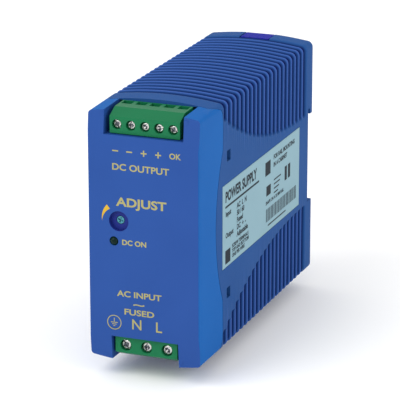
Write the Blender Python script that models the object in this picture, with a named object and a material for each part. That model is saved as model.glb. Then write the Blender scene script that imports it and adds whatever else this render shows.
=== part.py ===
"""DIN rail power supply: a ribbed plastic case that hangs on a 35 mm rail, with screw terminals at the front.

Metres, +Z up, +Y towards the rail. The origin is on the rail seat, level with the rail's middle.
Inside this file, positions are in the case's own frame: X from the middle, Y back from the front face,
Z up from mid-height. The empty CASE_FRAME carries that frame to the rail seat.
"""

import math

import bmesh
import bpy
from mathutils import Matrix, Vector

# Case
WIDTH = 0.0404
DEPTH = 0.115
CORNER_HEIGHT = 0.0433      # half height of the body at its side walls
CROWN = 0.0017              # how far the roof and the floor bow out in the middle
BODY_RADIUS = 0.0022
WALL = 0.0020
CAP_DEPTH = 0.0213
CAP_FRONT_WIDTH = 0.03966
CAP_FRONT_HEIGHT = 0.0428
CAP_RADIUS = 0.0012
CAP_LEAN = 0.0012           # the front face leans back this far at its top and bottom
CAP_LEAN_START = 0.031
SEAM_GAP = 0.0003
GAP = 0.0003

# Seam between cap and body: an arc that bows to the front, and a corner that steps forward at roof and floor
SEAM_ARC_TOP = 0.0275
SEAM_ARC_BOTTOM = -0.0255
SEAM_ARC_DEPTH = 0.0063
SEAM_CORNER = ((0.0142, 0.0500), (0.0143, 0.0436), (0.0174, 0.0428), (0.0196, 0.0420), (0.0210, 0.0402),
               (0.0215, 0.0370))

# Rail interface
RAIL_SEAT_DEPTH = 0.1100
RAIL_HEIGHT_IN_CASE = 0.0011
RAIL = 0.035
SEAT_TOP = RAIL_HEIGHT_IN_CASE + RAIL / 2 + 0.0003
SEAT_BOTTOM = RAIL_HEIGHT_IN_CASE - RAIL / 2 - 0.0002
HOOK_LIP = 0.0021
HOOK_SLOT = 0.0021

# Ribs
GROOVES = 21
FIRST_GROOVE = 0.0240
GROOVE_PITCH = 0.00408
GROOVE_WIDTH = 0.0020
GROOVE_DEPTH = 0.0011
PANEL_HALF = 0.0168         # half height of each side's plain panel at its rear
PANEL_FLARE = 0.0200        # how much further the panel reaches at the first groove
PANEL_REAR = 0.1060
PANEL_LENGTH = 0.0820

# Side label
LABEL = (0.0212, 0.1003, -0.0147, 0.0147)   # front, rear, bottom, top
LABEL_THICKNESS = 0.0002
LABEL_RECESS = 0.0003

# Latch
LATCH_HALF_WIDTH = 0.0054
LATCH_FRONT = 0.1044
LATCH_BACK = 0.1074
LATCH_CLEARANCE = 0.0004
CAVITY_END = 0.1077
LATCH_TRAVEL = 0.0035
SPRING_RADIUS = 0.00125
SPRING_WIRE = 0.00022
SPRING_TURNS = 7

# Terminals: poles, pitch, side (+1 top, -1 bottom), edges and screw height from mid-height, screw head radius
BLOCKS = {
    "output": dict(poles=5, pitch=0.0050, side=1, inner=0.03565, face=0.0414, screw=0.0387,
                   head=0.0015, shank=0.0011, bay_half=0.0142),
    "input": dict(poles=3, pitch=0.0075, side=-1, inner=0.03565, face=0.0414, screw=0.0387,
                  head=0.0018, shank=0.0013, bay_half=0.0121),
}
BLOCK_FRONT = 0.0019
BLOCK_RIDGE = 0.0064
BLOCK_BACK = 0.0156
BLOCK_EDGE = 0.0438
BLOCK_STEP = (0.0139, 0.0417)   # behind this depth the block stays under the body's wall
CHAMBER = (0.0046, 0.0140)
WIRE_ENTRY = (0.0102, 0.0134)
CLAMP = (0.0076, 0.0138)
CLAMP_WALLS = (0.0012, 0.0006)  # front, rear
CONTACT = (0.0098, 0.0104)

# Front panel parts
DIAL = (-0.0088, 0.0058)
DIAL_RADIUS = 0.0035
DIAL_DEPTH = 0.0017
ROTOR_RADIUS = 0.0013
LED = (-0.0106, -0.0013)
LED_RADIUS = 0.0015

# Boards
FRONT_BOARD_Y = 0.0162
FRONT_BOARD_HALF = (0.0163, 0.0405)
BOARD_THICKNESS = 0.0016
MAIN_BOARD_X = -0.0176
MAIN_BOARD = (0.0205, 0.1020, 0.0385)       # front, rear, half height
COMPONENT_FLOOR = MAIN_BOARD_X + BOARD_THICKNESS + GAP
COMPONENT_START = 0.0090     # the components' places along the board are measured from here

for existing in list(bpy.data.objects):
    bpy.data.objects.remove(existing)

parts = bpy.data.collections.new("din_rail_power_supply")
cutters = bpy.data.collections.new("cutters")
for collection in (parts, cutters):
    bpy.context.scene.collection.children.link(collection)

case_frame = bpy.data.objects.new("CASE_FRAME", None)
case_frame.location = (0, -RAIL_SEAT_DEPTH, -RAIL_HEIGHT_IN_CASE)
parts.objects.link(case_frame)


def make_material(name, colour, roughness, metallic=0.0):
    material = bpy.data.materials.new(name)
    material.use_nodes = True
    shader = material.node_tree.nodes["Principled BSDF"]
    shader.inputs["Base Color"].default_value = (*colour, 1)
    shader.inputs["Roughness"].default_value = roughness
    shader.inputs["Metallic"].default_value = metallic
    return material


MATERIALS = {
    "cap": make_material("cap_blue", (0.03, 0.13, 0.46), 0.35),
    "body": make_material("body_blue", (0.04, 0.11, 0.31), 0.5),
    "latch": make_material("latch_blue", (0.02, 0.10, 0.50), 0.35),
    "label": make_material("label", (0.35, 0.50, 0.60), 0.45),
    "terminal": make_material("terminal_green", (0.02, 0.27, 0.11), 0.4),
    "steel": make_material("plated_steel", (0.62, 0.62, 0.60), 0.3, 1.0),
    "brass": make_material("tinned_brass", (0.65, 0.55, 0.35), 0.35, 1.0),
    "black": make_material("black_plastic", (0.02, 0.02, 0.022), 0.5),
    "white": make_material("white_plastic", (0.75, 0.74, 0.70), 0.5),
    "led": make_material("led_green", (0.01, 0.09, 0.03), 0.2),
    "board": make_material("circuit_board", (0.03, 0.20, 0.08), 0.45),
    "ferrite": make_material("ferrite", (0.05, 0.05, 0.055), 0.6),
    "copper": make_material("copper_winding", (0.55, 0.22, 0.08), 0.35, 1.0),
    "tape": make_material("winding_tape", (0.70, 0.52, 0.08), 0.5),
    "foil_cap": make_material("capacitor_sleeve", (0.03, 0.04, 0.09), 0.4),
    "ceramic": make_material("ceramic_blue", (0.04, 0.16, 0.42), 0.45),
    "aluminium": make_material("aluminium", (0.72, 0.73, 0.74), 0.35, 1.0),
}


# Shapes

def add_object(name, shape, material=None):
    """A bmesh made into an object: a part if it has a material, and otherwise a cutter."""
    bmesh.ops.recalc_face_normals(shape, faces=shape.faces)
    mesh = bpy.data.meshes.new(name)
    shape.to_mesh(mesh)
    shape.free()
    made = bpy.data.objects.new(name, mesh)
    made.parent = case_frame
    if material:
        mesh.materials.append(MATERIALS[material])
        parts.objects.link(made)
    else:
        made.hide_render = True
        made.display_type = "WIRE"
        cutters.objects.link(made)
    return made


def shade_round(part, angle=35):
    part.data.shade_smooth()
    part.data.set_sharp_from_angle(angle=math.radians(angle))
    return part


def box(name, low, high, material=None):
    shape = bmesh.new()
    bmesh.ops.create_cube(shape, size=1)
    low, high = Vector(low), Vector(high)
    bmesh.ops.scale(shape, vec=high - low, verts=shape.verts)
    bmesh.ops.translate(shape, vec=(low + high) / 2, verts=shape.verts)
    return add_object(name, shape, material)


AXIS_TURNS = {
    "X": Matrix.Rotation(math.pi / 2, 4, "Y"),
    "Y": Matrix.Rotation(-math.pi / 2, 4, "X"),
    "Z": Matrix.Identity(4),
}


def cylinder(name, centre, radius, length, axis, material=None, sides=16, end_radius=None):
    """A cylinder that starts at centre and runs length along the axis; end_radius makes it a cone."""
    shape = bmesh.new()
    bmesh.ops.create_cone(
        shape, cap_ends=True, segments=sides, radius1=radius,
        radius2=radius if end_radius is None else end_radius, depth=length,
    )
    bmesh.ops.translate(shape, vec=(0, 0, length / 2), verts=shape.verts)
    bmesh.ops.transform(shape, matrix=Matrix.Translation(centre) @ AXIS_TURNS[axis], verts=shape.verts)
    made = add_object(name, shape, material)
    return shade_round(made) if material else made


def prism(name, outline, axis, start, end, material=None):
    """A flat outline drawn out along X (points are y, z) or along Y (points are x, z)."""
    shape = bmesh.new()
    if axis == "X":
        corners = [shape.verts.new((start, y, z)) for y, z in outline]
    else:
        corners = [shape.verts.new((x, start, z)) for x, z in outline]
    face = shape.faces.new(corners)
    moved = bmesh.ops.extrude_face_region(shape, geom=[face])
    verts = [v for v in moved["geom"] if isinstance(v, bmesh.types.BMVert)]
    step = Vector((end - start, 0, 0)) if axis == "X" else Vector((0, end - start, 0))
    bmesh.ops.translate(shape, vec=step, verts=verts)
    return add_object(name, shape, material)


def join(target, *others, operation="DIFFERENCE"):
    for other in others:
        step = target.modifiers.new(f"{operation.lower()}_{other.name}", "BOOLEAN")
        step.operation = operation
        step.object = other
    return target


def cut(target, *others):
    return join(target, *others)


def unite(target, *others):
    return join(target, *others, operation="UNION")


# Case outline

def roof_height(x, corner_height, half_width):
    return corner_height + CROWN * (1 - (x / half_width) ** 2)


def upper_outline(half_width, corner_height, radius, inset=0.0, start=None):
    """The right side, roof and left side of the case's front view, from the height start up and over."""
    inner_radius = max(radius - inset, 0.0004)
    shoulder = half_width - radius
    centre_height = roof_height(shoulder, corner_height, half_width) - radius
    centre = (half_width - inset - inner_radius, centre_height + radius - inset - inner_radius)
    right = [] if start is None else [(half_width - inset, min(start, centre[1] - 0.0001))]
    for step in range(4):
        angle = math.radians(30 * step)
        right.append((centre[0] + inner_radius * math.cos(angle), centre[1] + inner_radius * math.sin(angle)))
    for share in (0.66, 0.33):
        x = centre[0] * share
        right.append((x, roof_height(x, corner_height, half_width) - inset))
    top = [(0, roof_height(0, corner_height, half_width) - inset)]
    return right + top + [(-x, z) for x, z in reversed(right)]


def whole_outline(*shape):
    upper = upper_outline(*shape)
    return upper + [(-x, -z) for x, z in upper]


def case_solid(name, inset, start, end, material=None):
    """The case from start to end, with its tapered front, made smaller all round by inset."""
    front = whole_outline(CAP_FRONT_WIDTH / 2, CAP_FRONT_HEIGHT, CAP_RADIUS, inset)
    body = whole_outline(WIDTH / 2, CORNER_HEIGHT, BODY_RADIUS, inset)
    share = start / CAP_DEPTH
    first = [(a * (1 - share) + c * share, b * (1 - share) + d * share)
             for (a, b), (c, d) in zip(front, body)]
    shape = bmesh.new()
    rings = [[shape.verts.new((x, y, z)) for x, z in points]
             for points, y in ((first, start), (body, CAP_DEPTH), (body, end))]
    for near, far in zip(rings, rings[1:]):
        for i in range(len(near)):
            shape.faces.new((near[i - 1], near[i], far[i], far[i - 1]))
    shape.faces.new(rings[0])
    shape.faces.new(rings[-1])
    bmesh.ops.triangulate(shape, faces=shape.faces)
    return add_object(name, shape, material)


def seam_line(offset):
    """Points (y, z) down the seam between cap and body, moved back by offset."""
    half_chord = (SEAM_ARC_TOP - SEAM_ARC_BOTTOM) / 2
    middle = (SEAM_ARC_TOP + SEAM_ARC_BOTTOM) / 2
    radius = (half_chord ** 2 + SEAM_ARC_DEPTH ** 2) / (2 * SEAM_ARC_DEPTH)
    reach = math.asin(half_chord / radius)
    line = list(SEAM_CORNER)
    steps = 10
    for i in range(steps + 1):
        angle = reach * (1 - 2 * i / steps)
        bow = radius * (math.cos(angle) - math.cos(reach))
        line.append((CAP_DEPTH - bow, middle + radius * math.sin(angle)))
    line += [(y, -z) for y, z in reversed(SEAM_CORNER)]
    return [(y + offset, z) for y, z in line]


def front_region(offset):
    line = seam_line(offset)
    return prism("front_region", line + [(-0.02, -0.050), (-0.02, 0.050)], "X", -0.04, 0.04)


def rear_region(offset):
    line = seam_line(offset)
    return prism("rear_region", line + [(0.13, -0.050), (0.13, 0.050)], "X", -0.04, 0.04)


# Body shell

def panel_edge(y, side):
    """Height where the ribs stop above (side 1) or below (side -1) the plain side panel."""
    flare = PANEL_FLARE * max(0.0, (PANEL_REAR - y) / PANEL_LENGTH) ** 2.4
    return side * (PANEL_HALF + flare)


def groove_cutters():
    """One arch per groove: it goes down one side, under or over the case and up the other side."""
    shape = bmesh.new()
    for side in (1, -1):
        for number in range(GROOVES):
            middle = FIRST_GROOVE + number * GROOVE_PITCH
            start = abs(panel_edge(middle, side))
            inner = upper_outline(WIDTH / 2, CORNER_HEIGHT, BODY_RADIUS, GROOVE_DEPTH, start)
            outer = upper_outline(WIDTH / 2, CORNER_HEIGHT, BODY_RADIUS, -0.002, start)
            outer[0] = (outer[0][0], inner[0][1])
            outer[-1] = (outer[-1][0], inner[-1][1])
            rows = []
            for points in (inner, outer):
                for y in (middle - GROOVE_WIDTH / 2, middle + GROOVE_WIDTH / 2):
                    rows.append([shape.verts.new((x, y, side * z)) for x, z in points])
            near_in, far_in, near_out, far_out = rows
            for i in range(1, len(inner)):
                for a, b in ((near_in, far_in), (far_in, far_out), (far_out, near_out), (near_out, near_in)):
                    shape.faces.new((a[i - 1], a[i], b[i], b[i - 1]))
            for i in (0, -1):
                shape.faces.new((near_in[i], far_in[i], far_out[i], near_out[i]))
    return add_object("groove_cutters", shape)


def rail_notch():
    lip_top = SEAT_TOP - HOOK_LIP
    slot_back = RAIL_SEAT_DEPTH + HOOK_SLOT
    outline = [
        (RAIL_SEAT_DEPTH, SEAT_BOTTOM), (0.125, SEAT_BOTTOM), (0.125, lip_top + 0.0006),
        (DEPTH - 0.0006, lip_top), (slot_back, lip_top), (slot_back, SEAT_TOP), (RAIL_SEAT_DEPTH, SEAT_TOP),
    ]
    return prism("rail_notch", outline, "X", -0.03, 0.03)


def latch_channels():
    """The openings that the latch needs: in the roof, behind the rail's lower edge, and in the floor."""
    half = LATCH_HALF_WIDTH + LATCH_CLEARANCE
    return [
        box("roof_scoop", (-half, LATCH_BACK - LATCH_CLEARANCE, 0.0362), (half, 0.125, 0.050)),
        box("hook_window", (-half, 0.1064, SEAT_BOTTOM - 0.0092), (half, 0.125, SEAT_BOTTOM + 0.0005)),
        box("floor_slot", (-half, LATCH_FRONT - LATCH_CLEARANCE, -0.050),
            (half, LATCH_BACK + LATCH_CLEARANCE, -0.040)),
    ]


def latch_guides(shell):
    """Ribs with lips that hold the latch against the rear wall, and the peg that carries its spring."""
    inner, outer = LATCH_HALF_WIDTH + LATCH_CLEARANCE, LATCH_HALF_WIDTH + 0.0022
    for number, (low, high) in enumerate(((0.012, 0.028), (-0.036, -0.028))):
        for side in (-1, 1):
            across = sorted((side * inner, side * outer))
            lip = sorted((side * (inner - 0.0014), side * outer))
            name = f"guide_{number}_{'left' if side < 0 else 'right'}"
            unite(shell,
                  box(name, (across[0], 0.1033, low), (across[1], 0.1084, high)),
                  box(name + "_lip", (lip[0], 0.1029, low), (lip[1], 0.1040, high)))
    unite(shell, box("spring_peg", (-0.0019, 0.1046, 0.0070), (0.0019, 0.1084, 0.0090)))


def board_guides(shell):
    """Two ribs at the roof and two at the floor take the main board's edges between them."""
    front, rear, half_height = MAIN_BOARD
    for side in (-1, 1):
        heights = sorted((side * (half_height - 0.0012), side * 0.0426))
        for number, x in enumerate((MAIN_BOARD_X - GAP - 0.0008, MAIN_BOARD_X + BOARD_THICKNESS + GAP)):
            name = f"board_guide_{number}_{'roof' if side > 0 else 'floor'}"
            unite(shell, box(name, (x, front + 0.012, heights[0]), (x + 0.0008, rear - 0.008, heights[1])))


SNAP_HEIGHTS = (0.0244, -0.0244)
SNAP_MIDDLE = 0.0270


def snap_windows(shell):
    for height in SNAP_HEIGHTS:
        cut(shell, box(f"snap_window_{height:+.3f}", (-0.03, SNAP_MIDDLE - 0.0017, height - 0.0019),
                       (0.03, SNAP_MIDDLE + 0.0017, height + 0.0019)))


def make_body_shell():
    shell = case_solid("body_shell", 0.0, 0.0, DEPTH, "body")
    cut(shell, case_solid("body_cavity", WALL, 0.002, CAVITY_END), front_region(SEAM_GAP))
    latch_guides(shell)
    board_guides(shell)
    cut(shell, rail_notch(), *latch_channels())
    snap_windows(shell)
    front, rear, bottom, top = LABEL
    cut(shell, box("label_recess", (WIDTH / 2 - LABEL_RECESS, front - 0.0002, bottom - 0.0002),
                   (WIDTH / 2 + 0.002, rear + 0.0002, top + 0.0002)), groove_cutters())
    return shell


def make_side_label():
    front, rear, bottom, top = LABEL
    inner = WIDTH / 2 - LABEL_RECESS + 0.0001
    return box("side_label", (inner, front, bottom), (inner + LABEL_THICKNESS, rear, top), "label")


# Front cap

def bay_cutter(name, block):
    side = block["side"]
    heights = sorted((side * (block["inner"] - GAP), side * 0.055))
    return box(name + "_bay", (-block["bay_half"], -0.005, heights[0]), (block["bay_half"], 0.03, heights[1]))


def bay_walls(name, block):
    side, half = block["side"], block["bay_half"]
    floor = block["inner"] - GAP
    heights = sorted((side * (floor - 0.0014), side * 0.0426))
    return box(name + "_bay_walls", (-half - 0.0014, 0.001, heights[0]), (half + 0.0014, 0.0136, heights[1]))


def lean_cutter(side):
    """Takes the wedge off the front face above or below where it starts to lean back."""
    slope = CAP_LEAN / (CAP_FRONT_HEIGHT - CAP_LEAN_START)
    depths = (-0.001, 2 * CAP_LEAN)
    start, end = (CAP_LEAN_START + depth / slope for depth in depths)
    outline = [(-0.01, side * start), (depths[0], side * start), (depths[1], side * end), (-0.01, side * end)]
    return prism(f"lean_cutter_{side:+d}", outline, "X", -0.04, 0.04)


def snap_tongue(side, height):
    """A springy tongue behind the cap's side wall, with a barb that clicks into the body's window."""
    barb_back = SNAP_MIDDLE + 0.0013
    xs = [side * x for x in (0.0167, 0.0179, 0.0196)]
    name = f"{side:+d}_{height:+.3f}"
    tongue = box("tongue_" + name, (min(xs[0], xs[1]), 0.0100, height - 0.0022),
                 (max(xs[0], xs[1]), barb_back + 0.0006, height + 0.0022))
    root = sorted((side * 0.0168, side * 0.0188))
    foot = box("tongue_root_" + name, (root[0], 0.0098, height - 0.0024), (root[1], 0.0180, height + 0.0024))
    outline = [(xs[0], SNAP_MIDDLE - 0.0013), (xs[2], SNAP_MIDDLE - 0.0013),
               (xs[2], SNAP_MIDDLE - 0.0006), (xs[1], barb_back), (xs[0], barb_back)]
    shape = bmesh.new()
    corners = [shape.verts.new((x, y, height - 0.0015)) for x, y in outline]
    moved = bmesh.ops.extrude_face_region(shape, geom=[shape.faces.new(corners)])
    verts = [v for v in moved["geom"] if isinstance(v, bmesh.types.BMVert)]
    bmesh.ops.translate(shape, vec=(0, 0, 0.003), verts=verts)
    return foot, tongue, add_object("barb_" + name, shape)


def make_front_cap():
    cap = case_solid("front_cap", 0.0, 0.0, DEPTH, "cap")
    cavity = case_solid("cap_cavity", WALL, 0.002, CAVITY_END)
    cut(cap, lean_cutter(1), lean_cutter(-1), cavity, rear_region(0.0))
    for name, block in BLOCKS.items():
        unite(cap, bay_walls(name, block))
    unite(cap, cylinder("dish_boss", (DIAL[0], 0.0005, DIAL[1]), DIAL_RADIUS + 0.0012, 0.0024, "Y", sides=24))
    for side in (-1, 1):
        for height in SNAP_HEIGHTS:
            unite(cap, *snap_tongue(side, height))
    for name, block in BLOCKS.items():
        cut(cap, bay_cutter(name, block))
    cut(cap,
        cylinder("dish", (DIAL[0], -0.001, DIAL[1]), DIAL_RADIUS, 0.001 + DIAL_DEPTH, "Y", sides=24),
        cylinder("rotor_hole", (DIAL[0], 0.0, DIAL[1]), ROTOR_RADIUS + 0.0002, 0.006, "Y", sides=16),
        cylinder("led_hole", (LED[0], -0.001, LED[1]), LED_RADIUS + 0.0001, 0.006, "Y", sides=16))
    return cap


# Rail latch and its spring

def make_rail_latch():
    """A full-height slider: press its head in the roof scoop, or pull its foot, and the hook goes down."""
    arm_top = SEAT_BOTTOM - 0.0005
    arm_bottom = arm_top - 0.0042
    lip_front = RAIL_SEAT_DEPTH + HOOK_SLOT
    lip_top = SEAT_BOTTOM + 0.0012
    head_bottom, head_top, strip_top = 0.0402, 0.0447, 0.0423
    outline = [
        (LATCH_FRONT, -0.0466), (LATCH_BACK, -0.0466), (LATCH_BACK, arm_bottom),
        (DEPTH - 0.0006, arm_bottom), (DEPTH - 0.0006, arm_top - 0.0012), (lip_front + 0.0007, lip_top),
        (lip_front, lip_top), (lip_front, arm_top), (LATCH_BACK, arm_top), (LATCH_BACK, head_bottom),
        (DEPTH - 0.0004, head_bottom), (DEPTH - 0.0004, head_top), (LATCH_BACK + 0.0001, head_top),
        (LATCH_BACK + 0.0001, strip_top), (LATCH_FRONT, strip_top),
    ]
    latch = prism("rail_latch", outline, "X", -LATCH_HALF_WIDTH, LATCH_HALF_WIDTH, "latch")
    cut(latch, box("spring_window", (-0.0023, 0.10, 0.0030), (0.0023, 0.11, 0.0260)))
    cut(latch, box("pull_slot", (-0.0028, 0.10, -0.0459), (0.0028, 0.11, -0.0453)))
    return latch


def make_latch_spring():
    """A compression spring between the case's peg and the top of the latch's window."""
    low, high = 0.0090 + GAP + SPRING_WIRE, 0.0260 - GAP - SPRING_WIRE
    points_per_turn = 10
    count = SPRING_TURNS * points_per_turn
    curve = bpy.data.curves.new("latch_spring_line", "CURVE")
    curve.dimensions = "3D"
    curve.bevel_depth = SPRING_WIRE
    curve.bevel_resolution = 0
    curve.use_fill_caps = True
    line = curve.splines.new("POLY")
    line.points.add(count)
    for i, point in enumerate(line.points):
        angle = 2 * math.pi * i / points_per_turn
        point.co = (SPRING_RADIUS * math.cos(angle), SPRING_RADIUS * math.sin(angle),
                    low + (high - low) * i / count, 1)
    spring = bpy.data.objects.new("latch_spring", curve)
    spring.parent = case_frame
    spring.location = (0, (LATCH_FRONT + LATCH_BACK) / 2, 0)
    curve.materials.append(MATERIALS["steel"])
    parts.objects.link(spring)
    return spring


# Terminal blocks

def pole_places(block):
    first = -(block["poles"] - 1) / 2
    return [(first + number) * block["pitch"] for number in range(block["poles"])]


def contact_floor(block):
    """Height of the inner face of the contact bars' feet, and of the clamp chambers' floor."""
    return block["inner"] + 0.0004, block["inner"] + 0.0011


def make_terminal_block(name, block):
    side, half = block["side"], block["poles"] * block["pitch"] / 2
    outline = [
        (BLOCK_FRONT, block["inner"]), (BLOCK_FRONT, block["face"]), (BLOCK_RIDGE, BLOCK_EDGE - 0.0002),
        (BLOCK_STEP[0], BLOCK_EDGE), BLOCK_STEP, (BLOCK_BACK, BLOCK_STEP[1]), (BLOCK_BACK, block["inner"]),
    ]
    outline = [(y, side * z) for y, z in outline]
    housing = prism(name + "_terminal_block", outline, "X", -half, half, "terminal")
    clamp_half = block["pitch"] / 2 - 0.0005
    foot, floor = contact_floor(block)
    for number, x in enumerate(pole_places(block), 1):
        pole = f"{name}_pole_{number}"
        z = side * block["screw"]
        chamber = sorted((side * floor, side * (block["face"] - 0.0002)))
        entry = sorted((side * (block["face"] - 0.0006), side * 0.05))
        passage = sorted((side * (foot - 0.0001), side * (floor + 0.0002)))
        cut(housing,
            cylinder(pole + "_tunnel", (x, 0.0, z), block["head"] + 0.00025, 0.0039, "Y"),
            cylinder(pole + "_bore", (x, 0.0, z), block["shank"] + 0.00015, 0.006, "Y", sides=12),
            box(pole + "_chamber", (x - clamp_half, CHAMBER[0], chamber[0]),
                (x + clamp_half, CHAMBER[1], chamber[1])),
            box(pole + "_entry", (x - clamp_half + 0.0002, WIRE_ENTRY[0], entry[0]),
                (x + clamp_half - 0.0002, WIRE_ENTRY[1], entry[1])),
            box(pole + "_passage", (x - 0.0011, CONTACT[0] - 0.0002, passage[0]),
                (x + 0.0011, 0.0175, passage[1])))
    return housing


def make_contact(name, block, number, x):
    """An L of tinned brass: it stands in the clamp, and its foot runs back to the front board as a pin."""
    side = block["side"]
    foot, floor = contact_floor(block)
    top = block["face"] - 0.0006
    front, rear = CONTACT
    outline = [(front, foot), (FRONT_BOARD_Y + 0.0025, foot), (FRONT_BOARD_Y + 0.0025, foot + 0.0005),
               (rear, foot + 0.0005), (rear, top), (front, top)]
    return prism(f"{name}_contact_{number}", [(y, side * z) for y, z in outline], "X", x - 0.0009, x + 0.0009,
                 "brass")


def make_clamp(name, block, number, x):
    """A steel cage round the contact. Its front wall is the screw's nut; its rear wall presses the wire."""
    side, reach = block["side"], block["pitch"] / 2 - 0.0007
    floor = contact_floor(block)[1] + 0.0001
    low, high = sorted((side * floor, side * (block["face"] - 0.0008)))
    clamp = box(f"{name}_clamp_{number}", (x - reach, CLAMP[0], low), (x + reach, CLAMP[1], high), "steel")
    hollow = box(f"{name}_clamp_{number}_hollow", (x - reach + 0.0005, CLAMP[0] + CLAMP_WALLS[0], -0.05),
                 (x + reach - 0.0005, CLAMP[1] - CLAMP_WALLS[1], 0.05))
    nut = cylinder(f"{name}_clamp_{number}_nut", (x, 0.0070, side * block["screw"]),
                   block["shank"] + 0.0001, 0.0030, "Y", sides=12)
    return cut(clamp, hollow, nut)


def make_screw(name, block, number, x):
    """A slotted and crossed screw. Its origin is on its axis, at the face of its head."""
    head_length, length = 0.0012, 0.0068
    shape = bmesh.new()
    profile = [(block["head"], 0.0), (block["head"], head_length), (block["shank"], head_length),
               (block["shank"], length)]
    sides = 16
    rings = [[shape.verts.new((r * math.cos(2 * math.pi * i / sides), y, r * math.sin(2 * math.pi * i / sides)))
              for i in range(sides)] for r, y in profile]
    for near, far in zip(rings, rings[1:]):
        for i in range(sides):
            shape.faces.new((near[i - 1], near[i], far[i], far[i - 1]))
    shape.faces.new(rings[0])
    shape.faces.new(rings[-1])
    screw = add_object(f"{name}_screw_{number}", shape, "steel")
    screw.location = (x, 0.0025, block["side"] * block["screw"])
    shade_round(screw)
    for turn, slot_half in ((0, 0.00030), (90, 0.00022)):
        slot = box(f"{screw.name}_slot_{turn}", (-0.003, -0.001, -slot_half), (0.003, 0.0006, slot_half))
        if turn:
            slot.scale = (0.3, 1, 1)
        slot.location = screw.location
        slot.rotation_euler = (0, math.radians(turn + 35), 0)
        cut(screw, slot)
    return screw


def make_terminals():
    for name, block in BLOCKS.items():
        make_terminal_block(name, block)
        for number, x in enumerate(pole_places(block), 1):
            make_contact(name, block, number, x)
            make_clamp(name, block, number, x)
            make_screw(name, block, number, x)


# Trimmer and lamp

def make_trimmer():
    x, z = DIAL
    body_front = DIAL_DEPTH + 0.0016
    half = 0.0033
    body = box("trimmer_body", (x - half, body_front, z - half), (x + half, body_front + 0.0046, z + half),
               "white")
    for number, (dx, dz) in enumerate(((-0.0025, -0.002), (0.0, 0.002), (0.0025, -0.002))):
        unite(body, box(f"trimmer_pin_{number}", (x + dx - 0.0003, body_front + 0.004, z + dz - 0.0003),
                        (x + dx + 0.0003, FRONT_BOARD_Y - 0.0001, z + dz + 0.0003)))
    cut(body, cylinder("rotor_pocket", (x, 0.0, z), ROTOR_RADIUS + 0.0001, body_front + 0.0022, "Y"))
    shape = bmesh.new()
    bmesh.ops.create_cone(shape, cap_ends=True, segments=16, radius1=ROTOR_RADIUS, radius2=ROTOR_RADIUS,
                          depth=0.0034)
    bmesh.ops.rotate(shape, cent=(0, 0, 0), matrix=Matrix.Rotation(math.pi / 2, 3, "X"), verts=shape.verts)
    bmesh.ops.translate(shape, vec=(0, 0.0017, 0), verts=shape.verts)
    rotor = shade_round(add_object("trimmer_rotor", shape, "steel"))
    rotor.location = (x, DIAL_DEPTH, z)
    for turn in (20, 110):
        slot = box(f"rotor_slot_{turn}", (-0.0010, -0.001, -0.00025), (0.0010, 0.0006, 0.00025))
        slot.location = rotor.location
        slot.rotation_euler = (0, math.radians(turn), 0)
        cut(rotor, slot)


def make_led():
    x, z = LED
    led = cylinder("led_lamp", (x, -0.0004, z), LED_RADIUS, 0.0044, "Y", "led")
    unite(led, cylinder("led_flange", (x, 0.0036, z), LED_RADIUS + 0.0004, 0.0010, "Y"))
    for number, dx in enumerate((-0.0012, 0.0012)):
        unite(led, box(f"led_lead_{number}", (x + dx - 0.00025, 0.0042, z - 0.00025),
                       (x + dx + 0.00025, FRONT_BOARD_Y - 0.0001, z + 0.00025)))
    return led


# Boards and electronics

def make_boards():
    across, up = FRONT_BOARD_HALF
    front = box("front_board", (-across, FRONT_BOARD_Y, -up), (across, FRONT_BOARD_Y + BOARD_THICKNESS, up),
                "board")
    for name, block in BLOCKS.items():
        foot = contact_floor(block)[0]
        heights = sorted((block["side"] * (foot - 0.0002), block["side"] * (foot + 0.0007)))
        for number, x in enumerate(pole_places(block), 1):
            cut(front, box(f"{name}_pin_hole_{number}", (x - 0.0011, 0.01, heights[0]),
                           (x + 0.0011, 0.02, heights[1])))
    start, end, half = MAIN_BOARD
    main = box("main_board", (MAIN_BOARD_X, start, -half), (MAIN_BOARD_X + BOARD_THICKNESS, end, half), "board")
    for height in SNAP_HEIGHTS:
        cut(main, box(f"tongue_room_{height:+.3f}", (-0.025, 0.010, height - 0.0027),
                      (-0.010, 0.0295, height + 0.0027)))
    box("board_header", (COMPONENT_FLOOR, FRONT_BOARD_Y + BOARD_THICKNESS + GAP, -0.020),
        (COMPONENT_FLOOR + 0.0050, FRONT_BOARD_Y + BOARD_THICKNESS + GAP + 0.0060, 0.020), "black")


def standing(name, y, z, radius, height, material, sides=16):
    """A round component that stands on the main board."""
    return cylinder(name, (COMPONENT_FLOOR, COMPONENT_START + y, z), radius, height, "X", material, sides)


def block_part(name, y, z, length, width, height, material):
    """A box-shaped component on the main board: length along Y, width along Z, height off the board."""
    y += COMPONENT_START
    return box(name, (COMPONENT_FLOOR, y - length / 2, z - width / 2),
               (COMPONENT_FLOOR + height, y + length / 2, z + width / 2), material)


def make_input_stage():
    block_part("fuse", 0.0285, -0.0330, 0.0084, 0.0040, 0.0080, "black")
    standing("inrush_thermistor", 0.0420, -0.0310, 0.0045, 0.0045, "black")
    standing("surge_varistor", 0.0530, -0.0320, 0.0042, 0.0042, "ceramic")
    block_part("x_capacitor", 0.0360, -0.0190, 0.0175, 0.0085, 0.0150, "tape")
    choke = standing("common_mode_choke", 0.0580, -0.0190, 0.0075, 0.0110, "copper", 20)
    cut(choke, cylinder("choke_bore", (-0.02, COMPONENT_START + 0.0580, -0.0190), 0.0028, 0.04, "X"))
    block_part("bridge_rectifier", 0.0710, -0.0330, 0.0150, 0.0040, 0.0110, "black")
    standing("bulk_capacitor", 0.0790, -0.0190, 0.0085, 0.0300, "foil_cap", 20)


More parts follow.
